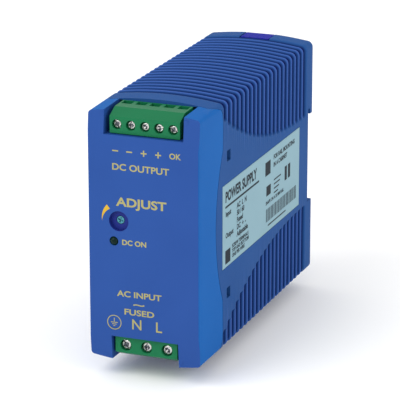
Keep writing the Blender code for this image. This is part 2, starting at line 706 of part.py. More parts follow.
def make_transformer():
    y, z = COMPONENT_START + 0.0590, 0.0040
    low, high = COMPONENT_FLOOR, COMPONENT_FLOOR + 0.0220
    core = box("transformer_core", (low, y - 0.0130, z - 0.0045), (high, y + 0.0130, z + 0.0045), "ferrite")
    for side in (-1, 1):
        ys = sorted((y + side * 0.0038, y + side * 0.0098))
        cut(core, box(f"core_window_{side:+d}", (low + 0.0035, ys[0], -0.05), (high - 0.0035, ys[1], 0.05)))
    winding = box("transformer_winding", (low + 0.0038, y - 0.0095, z - 0.0095),
                  (high - 0.0038, y + 0.0095, z + 0.0095), "tape")
    cut(winding, box("winding_hole", (low, y - 0.0041, z - 0.0048), (high, y + 0.0041, z + 0.0048)))


def heat_sink(name, screw_name, device_name, y, z):
    """An aluminium plate on edge, with a transistor package held on it by a screw."""
    low = COMPONENT_FLOOR
    y += COMPONENT_START
    plate = box(name, (low, y, z - 0.010), (low + 0.0260, y + 0.0020, z + 0.010), "aluminium")
    device = box(device_name, (low + 0.0040, y - GAP - 0.0045, z - 0.0050),
                 (low + 0.0190, y - GAP, z + 0.0050), "black")
    shaft = (low + 0.0160, y - GAP - 0.0045, z)
    bore = cylinder(name + "_bore", (shaft[0], shaft[1] - 0.001, z), 0.0016, 0.012, "Y", sides=12)
    cut(plate, bore)
    cut(device, bore)
    head = cylinder(screw_name, (shaft[0], shaft[1] - GAP - 0.0018, z), 0.0027, 0.0018, "Y", "steel")
    unite(head, cylinder(screw_name + "_shank", (shaft[0], shaft[1] - GAP - 0.0004, z), 0.0014, 0.0075, "Y",
                         sides=12))


def make_output_stage():
    heat_sink("primary_heatsink", "mosfet_screw", "switching_mosfet", 0.0820, 0.0040)
    heat_sink("secondary_heatsink", "rectifier_screw", "output_rectifier", 0.0360, 0.0080)
    standing("output_capacitor_1", 0.0480, 0.0260, 0.0050, 0.0200, "foil_cap")
    standing("output_capacitor_2", 0.0360, 0.0260, 0.0050, 0.0200, "foil_cap")
    standing("output_inductor", 0.0600, 0.0240, 0.0045, 0.0100, "copper")
    block_part("optocoupler", 0.0700, 0.0230, 0.0048, 0.0065, 0.0035, "white")
    block_part("controller_chip", 0.0800, 0.0240, 0.0095, 0.0065, 0.0035, "black")
    standing("y_capacitor", 0.0700, 0.0330, 0.0038, 0.0040, "ceramic")


make_body_shell()
make_front_cap()
make_rail_latch()
make_latch_spring()
make_side_label()
make_terminals()
make_trimmer()
make_led()
make_boards()
make_input_stage()
make_transformer()
make_output_stage()
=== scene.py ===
"""The looks of the DIN rail power supply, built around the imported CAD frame."""

import math

import bmesh
import bpy
from mathutils import Matrix, Vector


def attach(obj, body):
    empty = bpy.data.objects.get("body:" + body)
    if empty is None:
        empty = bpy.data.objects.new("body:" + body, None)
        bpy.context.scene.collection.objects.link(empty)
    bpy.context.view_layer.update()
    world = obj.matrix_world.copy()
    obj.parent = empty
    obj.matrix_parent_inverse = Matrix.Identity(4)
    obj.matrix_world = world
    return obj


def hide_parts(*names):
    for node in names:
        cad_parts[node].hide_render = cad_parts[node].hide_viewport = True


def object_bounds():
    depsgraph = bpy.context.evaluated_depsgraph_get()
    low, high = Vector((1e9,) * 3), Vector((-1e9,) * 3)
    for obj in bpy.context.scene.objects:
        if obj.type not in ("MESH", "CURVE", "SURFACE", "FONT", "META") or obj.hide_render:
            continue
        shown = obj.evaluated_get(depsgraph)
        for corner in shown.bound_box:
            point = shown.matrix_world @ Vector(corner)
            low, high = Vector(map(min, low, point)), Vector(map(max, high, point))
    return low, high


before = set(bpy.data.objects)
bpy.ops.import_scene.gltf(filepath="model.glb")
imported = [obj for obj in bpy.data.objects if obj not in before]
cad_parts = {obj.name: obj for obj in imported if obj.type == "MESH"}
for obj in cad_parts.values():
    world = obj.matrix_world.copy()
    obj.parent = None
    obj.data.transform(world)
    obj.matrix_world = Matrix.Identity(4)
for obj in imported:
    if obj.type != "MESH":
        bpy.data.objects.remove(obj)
cad_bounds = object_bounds()

MM = 0.001
# The case's own frame (front face at Y 0, mid-height at Z 0) inside the shared frame
CASE_ORIGIN = Vector((0, -110.0, -1.1))

# Case outline, in millimetres
HALF_WIDTH = 20.2
CORNER_HEIGHT = 43.3
CROWN = 1.7
CORNER_TURN = 86.0              # degrees, where a corner's arc meets the crowned roof
BODY_RADIUS = 2.2
DEPTH = 115.0
WALL = 2.0
CAP_DEPTH = 21.3
CAP_HALF_WIDTH = 19.83
CAP_HEIGHT = 42.8
CAP_RADIUS = 1.2
CAP_LEAN = 1.2
CAP_LEAN_START = 31.0
CAVITY_END = 107.7
CAVITY_RADIUS = 0.5
SEAM_ARC = (27.5, -25.5, 6.3)
SEAM_CORNER = ((14.2, 50.0), (14.3, 43.6), (17.4, 42.8), (19.6, 42.0), (21.0, 40.2), (21.5, 37.0))
SEAM_GAP = 0.3

GROOVES = 21
FIRST_GROOVE = 24.0
GROOVE_PITCH = 4.08
GROOVE_DEPTH = 1.35
RUN_OUT = 1.2
REAR_ROUND = 0.8

RAIL_SEAT = 110.0
SEAT_TOP, SEAT_BOTTOM = 18.9, -16.6
LATCH_HALF = 5.8
HOOK_SLOT = 2.1                 # room between the rail seat and the upper lip
HOOK_LIP = 2.1                  # how far the upper lip hangs down
LIP_CHAMFER = 0.6
SCOOP_FRONT, SCOOP_FLOOR = 107.0, 36.2
HOOK_WINDOW_FRONT, HOOK_WINDOW_HEIGHT = 106.4, 9.2
LATCH_SLOT = (104.0, 107.8)     # front, rear
PAST_REAR = 125.0               # behind the case, for the ends of cutters
LABEL = (21.2, 100.3, 14.7)     # front, rear, half height
LABEL_SEAT_DEPTH = 0.3
LABEL_GAP = 0.2

# The plain panel between the ribbed fields: its half height, and how it flares towards the front
PANEL_HALF = 16.8
PANEL_FLARE = 20.0
PANEL_FLARE_START, PANEL_FLARE_LENGTH = 106.0, 82.0
PANEL_FLARE_POWER = 2.4

BLOCKS = {
    "output": dict(poles=5, pitch=5.0, side=1, inner=35.65, face=41.4, screw=38.7, head=1.5, shank=1.1,
                   bay_half=14.2),
    "input": dict(poles=3, pitch=7.5, side=-1, inner=35.65, face=41.4, screw=38.7, head=1.8, shank=1.3,
                  bay_half=12.1),
}
DIAL = (-8.8, 5.8)
DIAL_RADIUS = 3.5
LED = (-10.6, -1.3)
SNAP_HEIGHTS = (24.4, -24.4)
SNAP_MIDDLE = 27.0
SNAP_HALF_DEPTH, SNAP_HALF_HEIGHT = 1.7, 1.9

LEAN_CUT = (-1.0, 2.4)          # depths between which the cutter for the leaning faces runs
BAY_GAP = 0.3
BAY_WALL = 1.4
BAY_WALL_DEPTHS = (1.0, 13.6)
BAY_WALL_TOP = 42.6
DISH_DEPTH = 1.7

SCREW_FACE = 2.5
THREAD_TURNS, THREAD_LENGTH, THREAD_DEPTH = 8, 5.4, 0.12

# Print: how far it stands off its face, how thick a flat shape is, and a capital's share of the letter size
PRINT_STAND = 0.012
PRINT_THICKNESS = 0.022
CAPITAL_SHARE = 0.7

GLOSS_SPAN = 0.08               # how much a surface's roughness varies
GRAIN_HEIGHT = 0.2
FLOOR_DROP = 4.0


def place(x, y, z):
    return (Vector((x, y, z)) + CASE_ORIGIN) * MM


def srgb(r, g, b):
    def linear(value):
        value /= 255
        return value / 12.92 if value <= 0.04045 else ((value + 0.055) / 1.055) ** 2.4
    return (linear(r), linear(g), linear(b), 1.0)


# Materials

def new_material(name, roughness, metallic=0.0, specular=0.5):
    material = bpy.data.materials.new(name)
    material.use_nodes = True
    shader = material.node_tree.nodes["Principled BSDF"]
    shader.inputs["Roughness"].default_value = roughness
    shader.inputs["Metallic"].default_value = metallic
    shader.inputs["Specular IOR Level"].default_value = specular
    return material, shader


def textured(name, dark, light, roughness, grain=900.0, bump=0.06, mottle=60.0, metallic=0.0,
             specular=0.5, stretch=(1, 1, 1)):
    """A moulded or metal surface: a slow mottle in its colour, and a fine grain in its gloss and its bump."""
    material, shader = new_material(name, roughness, metallic, specular)
    tree = material.node_tree
    nodes, links = tree.nodes, tree.links
    where = nodes.new("ShaderNodeTexCoord")
    mapping = nodes.new("ShaderNodeMapping")
    mapping.inputs["Scale"].default_value = stretch
    links.new(where.outputs["Object"], mapping.inputs["Vector"])

    slow = nodes.new("ShaderNodeTexNoise")
    slow.inputs["Scale"].default_value = mottle
    slow.inputs["Detail"].default_value = 3
    fine = nodes.new("ShaderNodeTexNoise")
    fine.inputs["Scale"].default_value = grain
    fine.inputs["Detail"].default_value = 2
    for noise in (slow, fine):
        links.new(mapping.outputs["Vector"], noise.inputs["Vector"])

    colour = nodes.new("ShaderNodeMix")
    colour.data_type = "RGBA"
    colour.inputs["A"].default_value = dark
    colour.inputs["B"].default_value = light
    links.new(slow.outputs["Fac"], colour.inputs["Factor"])
    links.new(colour.outputs["Result"], shader.inputs["Base Color"])

    gloss = nodes.new("ShaderNodeMapRange")
    gloss.inputs["From Min"].default_value = 0.3
    gloss.inputs["From Max"].default_value = 0.7
    gloss.inputs["To Min"].default_value = roughness - GLOSS_SPAN / 2
    gloss.inputs["To Max"].default_value = roughness + GLOSS_SPAN / 2
    links.new(fine.outputs["Fac"], gloss.inputs["Value"])
    links.new(gloss.outputs["Result"], shader.inputs["Roughness"])

    relief = nodes.new("ShaderNodeBump")
    relief.inputs["Strength"].default_value = bump
    relief.inputs["Distance"].default_value = GRAIN_HEIGHT * MM
    links.new(fine.outputs["Fac"], relief.inputs["Height"])
    links.new(relief.outputs["Normal"], shader.inputs["Normal"])
    return material


LOOKS = {
    "cap": textured("case_cap_blue", srgb(31, 69, 138), srgb(36, 75, 146), 0.42, grain=2600, bump=0.04,
                    specular=0.15),
    # Painted light: a lighter copy of the cap's blue, for its faces that look sideways, up or down.
    "cap_side_painted_light": textured("case_cap_side_painted_light", srgb(22, 88, 160), srgb(27, 95, 168), 0.55, grain=2600, bump=0.04,
                      specular=0.03),
    # Painted shade: a navy copy of the cap's blue, for the recessed dish.
    "dish": textured("dish_painted_shade", srgb(28, 40, 120), srgb(34, 48, 130), 0.45, grain=2600, bump=0.04,
                     specular=0.12),
    "latch": textured("latch_blue", srgb(26, 30, 140), srgb(32, 38, 152), 0.5, grain=2600, bump=0.03,
                      specular=0.03),
    "green": textured("terminal_green", srgb(14, 100, 62), srgb(20, 112, 70), 0.42, grain=2200, bump=0.05,
                      specular=0.15),
    # Painted shade: a dark copy of the plated steel, for the screws' slots and the middle of their heads.
    "slot_painted_shade": textured("screw_slot_painted_shade", srgb(72, 76, 84), srgb(98, 102, 110), 0.4, grain=1500, bump=0.05,
                       metallic=0.9),
    "steel": textured("plated_steel", srgb(196, 196, 192), srgb(222, 222, 218), 0.28, grain=1500, bump=0.05,
                      metallic=1.0, mottle=300),
    "brass": textured("tinned_brass", srgb(190, 176, 140), srgb(206, 194, 160), 0.33, grain=1500,
                      metallic=1.0),
    "print": textured("cream_print", srgb(154, 148, 98), srgb(164, 158, 106), 0.6, grain=3000, bump=0.02,
                      specular=0.1),
    "gold": textured("gold_print", srgb(196, 156, 44), srgb(206, 168, 54), 0.55, grain=3000, bump=0.02,
                     specular=0.1),
    "label": textured("label_foil", srgb(124, 158, 170), srgb(132, 166, 178), 0.5, grain=1800, bump=0.02,
                      specular=0.15),
    "ink": textured("label_ink", srgb(22, 32, 40), srgb(30, 40, 48), 0.6, grain=3000, bump=0.02,
                    specular=0.1),
    "board": textured("solder_mask", srgb(14, 82, 44), srgb(24, 98, 54), 0.35, grain=900, bump=0.08),
    "black": textured("moulded_black", srgb(26, 26, 28), srgb(38, 38, 40), 0.5, grain=1500),
    "white": textured("moulded_white", srgb(206, 204, 196), srgb(220, 218, 210), 0.45, grain=1500),
    "ferrite": textured("ferrite", srgb(48, 48, 50), srgb(64, 63, 62), 0.6, grain=700, bump=0.2),
    "copper": textured("enamelled_copper", srgb(150, 78, 36), srgb(184, 100, 50), 0.3, grain=500, bump=0.3,
                       metallic=1.0, stretch=(4, 1, 1)),
    "tape": textured("yellow_tape", srgb(206, 170, 40), srgb(220, 186, 60), 0.35, grain=500, bump=0.06),
    "sleeve": textured("capacitor_sleeve", srgb(30, 36, 62), srgb(38, 46, 76), 0.32, grain=600, bump=0.04),
    "ceramic": textured("blue_coating", srgb(38, 74, 150), srgb(50, 90, 166), 0.4, grain=500, bump=0.15),
    "aluminium": textured("sheet_aluminium", srgb(186, 188, 190), srgb(206, 208, 210), 0.35, grain=900,
                          metallic=1.0, stretch=(1, 1, 12), mottle=200),
    "trimmer": textured("trimmer_metal", srgb(58, 128, 146), srgb(76, 146, 160), 0.35, grain=1500,
                        metallic=0.6),
}


def lamp_rim_sheen_material():
    material, shader = new_material("lamp_resin_rim_sheen", 0.25, specular=0.12)
    nodes, links = material.node_tree.nodes, material.node_tree.links
    # The resin's own dark green, with a painted sheen that turns it lighter where the surface turns away from
    # the view, towards the lamp's rim.
    edge = nodes.new("ShaderNodeLayerWeight")
    edge.inputs["Blend"].default_value = 0.35
    painted_light_mix = nodes.new("ShaderNodeMix")
    painted_light_mix.data_type = "RGBA"
    painted_light_mix.inputs["A"].default_value = srgb(2, 28, 24)
    painted_light_mix.inputs["B"].default_value = srgb(3, 44, 34)
    links.new(edge.outputs["Facing"], painted_light_mix.inputs["Factor"])
    links.new(painted_light_mix.outputs["Result"], shader.inputs["Base Color"])
    return material


LOOKS["led"] = lamp_rim_sheen_material()


def body_material_with_painted_light():
    """The body's blue, with navy painted shade where the groove attribute is 1, in the grooves, and a lighter
    painted highlight where the crest attribute is 1, on the ribs' crests.
    """
    plastic = textured("case_body_blue_painted_shade_and_highlight", srgb(34, 74, 132), srgb(40, 81, 140), 0.55, grain=2600, bump=0.05,
                       specular=0.03)
    tree = plastic.node_tree
    nodes, links = tree.nodes, tree.links
    shader = nodes["Principled BSDF"]
    plain = shader.inputs["Base Color"].links[0].from_socket
    groove = nodes.new("ShaderNodeAttribute")
    groove.attribute_name = "groove"
    painted_light_mix = nodes.new("ShaderNodeMix")
    painted_light_mix.data_type = "RGBA"
    links.new(groove.outputs["Fac"], painted_light_mix.inputs["Factor"])
    links.new(plain, painted_light_mix.inputs["A"])
    # Painted shade: navy in the grooves.
    painted_light_mix.inputs["B"].default_value = srgb(8, 22, 76)
    crest = nodes.new("ShaderNodeAttribute")
    crest.attribute_name = "crest"
    crest_painted_highlight = nodes.new("ShaderNodeMix")
    crest_painted_highlight.data_type = "RGBA"
    links.new(crest.outputs["Fac"], crest_painted_highlight.inputs["Factor"])
    links.new(painted_light_mix.outputs["Result"], crest_painted_highlight.inputs["A"])
    # Painted highlight: a lighter blue on the ribs' crests.
    crest_painted_highlight.inputs["B"].default_value = srgb(60, 92, 162)
    links.new(crest_painted_highlight.outputs["Result"], shader.inputs["Base Color"])
    return plastic


LOOKS["body"] = body_material_with_painted_light()

NODE_LOOKS = {
    "rail_latch": "latch", "latch_spring": "steel", "trimmer_body": "white", "front_board": "board",
    "main_board": "board", "board_header": "black", "fuse": "black", "inrush_thermistor": "black",
    "surge_varistor": "ceramic", "x_capacitor": "tape", "common_mode_choke": "copper",
    "bridge_rectifier": "black", "bulk_capacitor": "sleeve", "transformer_core": "ferrite",
    "transformer_winding": "tape", "primary_heatsink": "aluminium", "secondary_heatsink": "aluminium",
    "switching_mosfet": "black", "output_rectifier": "black", "mosfet_screw": "steel",
    "rectifier_screw": "steel", "output_capacitor_1": "sleeve", "output_capacitor_2": "sleeve",
    "output_inductor": "copper", "optocoupler": "white", "controller_chip": "black", "y_capacitor": "ceramic",
    "trimmer_rotor": "trimmer", "side_label": "label",
    "output_terminal_block": "green", "input_terminal_block": "green",
}


def paint(obj, look):
    obj.data.materials.clear()
    obj.data.materials.append(LOOKS[look])


# Mesh helpers

def new_object(name, shape, look=None, smooth=None):
    bmesh.ops.recalc_face_normals(shape, faces=shape.faces)
    mesh = bpy.data.meshes.new(name)
    shape.to_mesh(mesh)
    shape.free()
    made = bpy.data.objects.new(name, mesh)
    bpy.context.scene.collection.objects.link(made)
    if look:
        mesh.materials.append(LOOKS[look])
    if smooth:
        mesh.shade_smooth()
        mesh.set_sharp_from_angle(angle=math.radians(smooth))
    return made


def box_cutter(name, low, high):
    shape = bmesh.new()
    bmesh.ops.create_cube(shape, size=1)
    low, high = place(*low), place(*high)
    bmesh.ops.scale(shape, vec=high - low, verts=shape.verts)
    bmesh.ops.translate(shape, vec=(low + high) / 2, verts=shape.verts)
    return new_object(name, shape)


def extrude(shape, face, step):
    new = bmesh.ops.extrude_face_region(shape, geom=[face])["geom"]
    bmesh.ops.translate(shape, vec=step, verts=[part for part in new if isinstance(part, bmesh.types.BMVert)])


def prism_cutter(name, outline, start, end):
    """An outline of (y, z) points drawn out along X."""
    shape = bmesh.new()
    face = shape.faces.new([shape.verts.new(place(start, y, z)) for y, z in outline])
    extrude(shape, face, ((end - start) * MM, 0, 0))
    return new_object(name, shape)


def round_cutter(name, x, z, radius, start, end, sides=48):
    shape = bmesh.new()
    bmesh.ops.create_cone(shape, cap_ends=True, segments=sides, radius1=radius * MM, radius2=radius * MM,
                          depth=(end - start) * MM)
    turn = Matrix.Translation(place(x, (start + end) / 2, z)) @ Matrix.Rotation(-math.pi / 2, 4, "X")
    bmesh.ops.transform(shape, matrix=turn, verts=shape.verts)
    return new_object(name, shape)


def turned(name, centre, profile, look=None, smooth=None, sides=40):
    """A solid turned about the line along Y through centre (x, z), from a profile of (radius, y) points."""
    shape = bmesh.new()
    rings = []
    for radius, y in profile:
        angles = [2 * math.pi * i / sides for i in range(sides if radius else 1)]
        rings.append([shape.verts.new(place(x, y, z)) for x, z in arc(*centre, radius, angles)])
    for near, far in zip(rings, rings[1:]):
        for i in range(sides):
            corners = [ring[k % len(ring)] for ring, k in ((near, i - 1), (near, i), (far, i), (far, i - 1))]
            shape.faces.new(list(dict.fromkeys(corners)))
    return new_object(name, shape, look, smooth)


def arc(x, z, radius, angles):
    return [(x + radius * math.cos(angle), z + radius * math.sin(angle)) for angle in angles]


def apply_modifiers(obj):
    graph = bpy.context.evaluated_depsgraph_get()
    mesh = bpy.data.meshes.new_from_object(obj.evaluated_get(graph))
    old = obj.data
    obj.modifiers.clear()
    obj.data = mesh
    bpy.data.meshes.remove(old)


def boolean(obj, cutter, operation="DIFFERENCE"):
    step = obj.modifiers.new(operation.lower(), "BOOLEAN")
    step.operation = operation
    step.object = cutter


def finish_booleans(obj, cutters):
    bpy.context.view_layer.update()
    apply_modifiers(obj)
    for cutter in cutters:
        mesh = cutter.data
        bpy.data.objects.remove(cutter)
        bpy.data.meshes.remove(mesh)


def bevel(obj, width, angle=30):
    step = obj.modifiers.new("edge_bevel", "BEVEL")
    step.width = width * MM
    step.segments = 2
    step.limit_method = "ANGLE"
    step.angle_limit = math.radians(angle)


# Case outline: the same loft as the CAD, with finer corners

def roof_height(x, corner_height, half_width):
    return corner_height + CROWN * (1 - (x / half_width) ** 2)


def blend_pair(a, b, share):
    return tuple(p * (1 - share) + q * share for p, q in zip(a, b))


def quarter_outline(half_width, corner_height, radius, inset, corner_steps, roof_steps):
    """Points (x, z) from the side wall's top end, round the corner, to the middle of the roof."""
    shoulder = half_width - radius
    centre_z = roof_height(shoulder, corner_height, half_width) - radius
    points = []
    for step in range(corner_steps + 1):
        points += arc(shoulder, centre_z, radius - inset, [math.radians(CORNER_TURN * step / corner_steps)])
    last = points[-1][0]
    for step in range(1, roof_steps + 1):
        x = last * (1 - step / roof_steps)
        points.append((x, roof_height(x, corner_height, half_width) - inset))
    return points


def ring_points(y, inset, corner_steps=8, roof_steps=8):
    """The case's section at depth y: its outside, or its cavity where inset is the wall's thickness."""
    share = min(y / CAP_DEPTH, 1.0)
    if inset:
        front = quarter_outline(CAP_HALF_WIDTH - inset, CAP_HEIGHT - inset, CAVITY_RADIUS, 0, corner_steps,
                                roof_steps)
    else:
        front = quarter_outline(CAP_HALF_WIDTH, CAP_HEIGHT, CAP_RADIUS, 0, corner_steps, roof_steps)
    body = quarter_outline(HALF_WIDTH, CORNER_HEIGHT, BODY_RADIUS, inset, corner_steps, roof_steps)
    quarter = [blend_pair(a, b, share) for a, b in zip(front, body)]
    upper = quarter + [(-x, z) for x, z in reversed(quarter[:-1])]
    return upper + [(-x, -z) for x, z in upper]


def loft(name, rings, look=None, smooth=None):
    """Closed rings of (x, y, z), joined in order and closed with a face at each end."""
    shape = bmesh.new()
    made = [[shape.verts.new(place(*point)) for point in ring] for ring in rings]
    for near, far in zip(made, made[1:]):
        for i in range(len(near)):
            shape.faces.new((near[i - 1], near[i], far[i], far[i - 1]))
    shape.faces.new(made[0])
    shape.faces.new(made[-1])
    bmesh.ops.triangulate(shape, faces=shape.faces)
    return new_object(name, shape, look, smooth)


def case_loft(name, inset, start, end):
    stations = [start, CAP_DEPTH, end]
    return loft(name, [[(x, y, z) for x, z in ring_points(y, inset)] for y in stations])


def seam_line(offset, steps=28):
    top, bottom, bow = SEAM_ARC
    half_chord, middle = (top - bottom) / 2, (top + bottom) / 2
    radius = (half_chord ** 2 + bow ** 2) / (2 * bow)
    reach = math.asin(half_chord / radius)
    line = list(SEAM_CORNER)
    for i in range(steps + 1):
        angle = reach * (1 - 2 * i / steps)
        depth = CAP_DEPTH - radius * (math.cos(angle) - math.cos(reach))
        line.append((depth, middle + radius * math.sin(angle)))
    line += [(y, -z) for y, z in reversed(SEAM_CORNER)]
    return [(y + offset, z) for y, z in line]


# Ribbed body

def panel_edge(y):
    share = max(0.0, (PANEL_FLARE_START - y) / PANEL_FLARE_LENGTH)
    return PANEL_HALF + PANEL_FLARE * share ** PANEL_FLARE_POWER


def groove_shape(y):
    """How deep the grooves are at depth y, from 0 on a rib's crest to 1 in a groove."""
    phase = (y - FIRST_GROOVE) / GROOVE_PITCH
    number = round(phase)
    if number < 0 or number >= GROOVES:
        return 0.0
    off = abs(phase - number)
    flat, rise = 0.14, 0.34
    if off <= flat:
        return 1.0
    if off >= flat + rise:
        return 0.0
    return 0.5 + 0.5 * math.cos(math.pi * (off - flat) / rise)


def smooth_step(low, high, value):
    share = min(max((value - low) / (high - low), 0.0), 1.0)
    return share * share * (3 - 2 * share)


def groove_centre(y):
    return FIRST_GROOVE + round((y - FIRST_GROOVE) / GROOVE_PITCH) * GROOVE_PITCH


def ribbed_ring(y):
    """One ring of the body at depth y. The side walls have rows of points that follow the ribs' run-out."""
    corner_steps, roof_steps = 10, 10
    edge = panel_edge(groove_centre(y))
    depth = GROOVE_DEPTH * groove_shape(y)
    body = quarter_outline(HALF_WIDTH, CORNER_HEIGHT, BODY_RADIUS, 0, corner_steps, roof_steps)
    inner = quarter_outline(HALF_WIDTH, CORNER_HEIGHT, BODY_RADIUS, depth, corner_steps, roof_steps)
    share = min(y / CAP_DEPTH, 1.0)
    if share < 1:
        front = quarter_outline(CAP_HALF_WIDTH, CAP_HEIGHT, CAP_RADIUS, 0, corner_steps, roof_steps)
        body = inner = [blend_pair(a, b, share) for a, b in zip(front, body)]
    half, wall_top = body[0]
    start = min(edge, wall_top - RUN_OUT - 0.6)
    rows = [start * share_up for share_up in (0.001, 0.35, 0.7)]
    rows += [start + RUN_OUT * share_up for share_up in (0.0, 0.33, 0.66, 1.0)]
    rows.append((start + RUN_OUT + wall_top) / 2)
    wall = [(half - depth * smooth_step(start, start + RUN_OUT, z), z) for z in rows]
    quarter = wall + inner
    upper = quarter + [(-x, z) for x, z in reversed(quarter[:-1])]
    return upper + [(-x, -z) for x, z in upper]


def body_stations():
    stations = [0.0, 6.0, 14.0, CAP_DEPTH]
    first, last = FIRST_GROOVE - GROOVE_PITCH / 2, FIRST_GROOVE + (GROOVES - 0.5) * GROOVE_PITCH
    per_pitch = 12
    count = GROOVES * per_pitch
    stations += [first + (last - first) * i / count for i in range(count + 1)]
    stations += [DEPTH - back for back in (6.0, 3.0, 0.8, 0.4, 0.1, 0.0)]
    return sorted(stations)


def body_outer():
    rings = []
    for y in body_stations():
        ring = ribbed_ring(y)
        shrink = 0.0
        if y > DEPTH - REAR_ROUND:
            shrink = REAR_ROUND - math.sqrt(max(REAR_ROUND ** 2 - (y - DEPTH + REAR_ROUND) ** 2, 0.0))
        scale_x, scale_z = 1 - shrink / HALF_WIDTH, 1 - shrink / CORNER_HEIGHT
        rings.append([(x * scale_x, y, z * scale_z) for x, z in ring])
    return loft("case_body", rings)


def mark_groove_shade_and_crest_highlight(body):
    """Writes where the grooves and the ribs' crests are, from 0 to 1, for the body's material to paint shade
    into the grooves and a highlight onto the crests.
    """
    groove = body.data.attributes.new("groove", "FLOAT", "POINT")
    crest = body.data.attributes.new("crest", "FLOAT", "POINT")
    first, last = FIRST_GROOVE, FIRST_GROOVE + (GROOVES - 1) * GROOVE_PITCH
    for vertex, groove_shade_mark, crest_highlight_mark in zip(body.data.vertices, groove.data, crest.data):
        _, y, z = vertex.co / MM - CASE_ORIGIN
        edge = panel_edge(groove_centre(y))
        ribbed = smooth_step(edge, edge + RUN_OUT, abs(z))
        # Painted shade in the grooves, only where the ribs are.
        groove_shade_mark.value = smooth_step(0.05, 0.75, groove_shape(y)) * ribbed
        # Painted highlight on the ribs' crests, only where the ribs are.
        crest_highlight_mark.value = (1 - smooth_step(0.0, 0.3, groove_shape(y))) * ribbed if first < y < last else 0.0


def make_body():
    body = body_outer()
    line = seam_line(SEAM_GAP)
    lip, lip_top, half = RAIL_SEAT + HOOK_SLOT, SEAT_TOP - HOOK_LIP, LATCH_HALF
    front, rear, up = LABEL
    notch = [(RAIL_SEAT, SEAT_BOTTOM), (PAST_REAR, SEAT_BOTTOM), (PAST_REAR, lip_top + LIP_CHAMFER),
             (DEPTH - LIP_CHAMFER, lip_top), (lip, lip_top), (lip, SEAT_TOP), (RAIL_SEAT, SEAT_TOP)]
    cutters = [
        prism_cutter("front_region", line + [(-20, -50), (-20, 50)], -40, 40),
        case_loft("cavity", WALL, 2.0, CAVITY_END),
        prism_cutter("notch", notch, -30, 30),
        box_cutter("scoop", (-half, SCOOP_FRONT, SCOOP_FLOOR), (half, PAST_REAR, 50)),
        box_cutter("window", (-half, HOOK_WINDOW_FRONT, SEAT_BOTTOM - HOOK_WINDOW_HEIGHT),
                   (half, PAST_REAR, SEAT_BOTTOM + 0.5)),
        box_cutter("slot", (-half, LATCH_SLOT[0], -50), (half, LATCH_SLOT[1], -40)),
        box_cutter("label_seat", (HALF_WIDTH - LABEL_SEAT_DEPTH, front - LABEL_GAP, -up - LABEL_GAP),
                   (HALF_WIDTH + 3, rear + LABEL_GAP, up + LABEL_GAP)),
    ]
    for height in SNAP_HEIGHTS:
        cutters.append(box_cutter("snap", (-30, SNAP_MIDDLE - SNAP_HALF_DEPTH, height - SNAP_HALF_HEIGHT),
                                  (30, SNAP_MIDDLE + SNAP_HALF_DEPTH, height + SNAP_HALF_HEIGHT)))
    for cutter in cutters:
        boolean(body, cutter)
    finish_booleans(body, cutters)
    paint(body, "body")
    mark_groove_shade_and_crest_highlight(body)
    body.data.shade_smooth()
    body.data.set_sharp_from_angle(angle=math.radians(38))
    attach(body, "case")
    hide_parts("body_shell")


# Front cap

def cap_outer():
    stations = [(0.0, 0.55), (0.16, 0.22), (0.55, 0.0), (4.0, 0.0), (8.0, 0.0), (CAP_DEPTH, 0.0), (30.0, 0.0)]
    rings = []
    for y, shrink in stations:
        scale_x, scale_z = 1 - shrink / CAP_HALF_WIDTH, 1 - shrink / CAP_HEIGHT
        rings.append([(x * scale_x, y, z * scale_z) for x, z in ring_points(y, 0)])
    return loft("case_cap", rings)


def paint_cap_with_painted_light(cap):
    """The front's blue, a lighter painted-light blue on the faces that look sideways, up or down, and navy
    painted shade in the dish.
    """
    cap.data.materials.clear()
    for look in ("cap", "cap_side_painted_light", "dish"):
        cap.data.materials.append(LOOKS[look])
    # Painted shade: the faces inside the dish, behind the front face, get the navy.
    dish_centre = place(DIAL[0], 0, DIAL[1])
    for face in cap.data.polygons:
        off = face.center - dish_centre
        # Painted light: the faces that look sideways, up or down get the lighter blue.
        on_side = abs(face.normal.x) > 0.7 and abs(face.center.x) > 0.019
        on_roof = abs(face.normal.z) > 0.7 and abs(face.center.z) > 0.0415
        if on_side or on_roof:
            face.material_index = 1
        elif Vector((off.x, off.z)).length < (DIAL_RADIUS + 0.01) * MM and off.y > 0.00002:
            face.material_index = 2


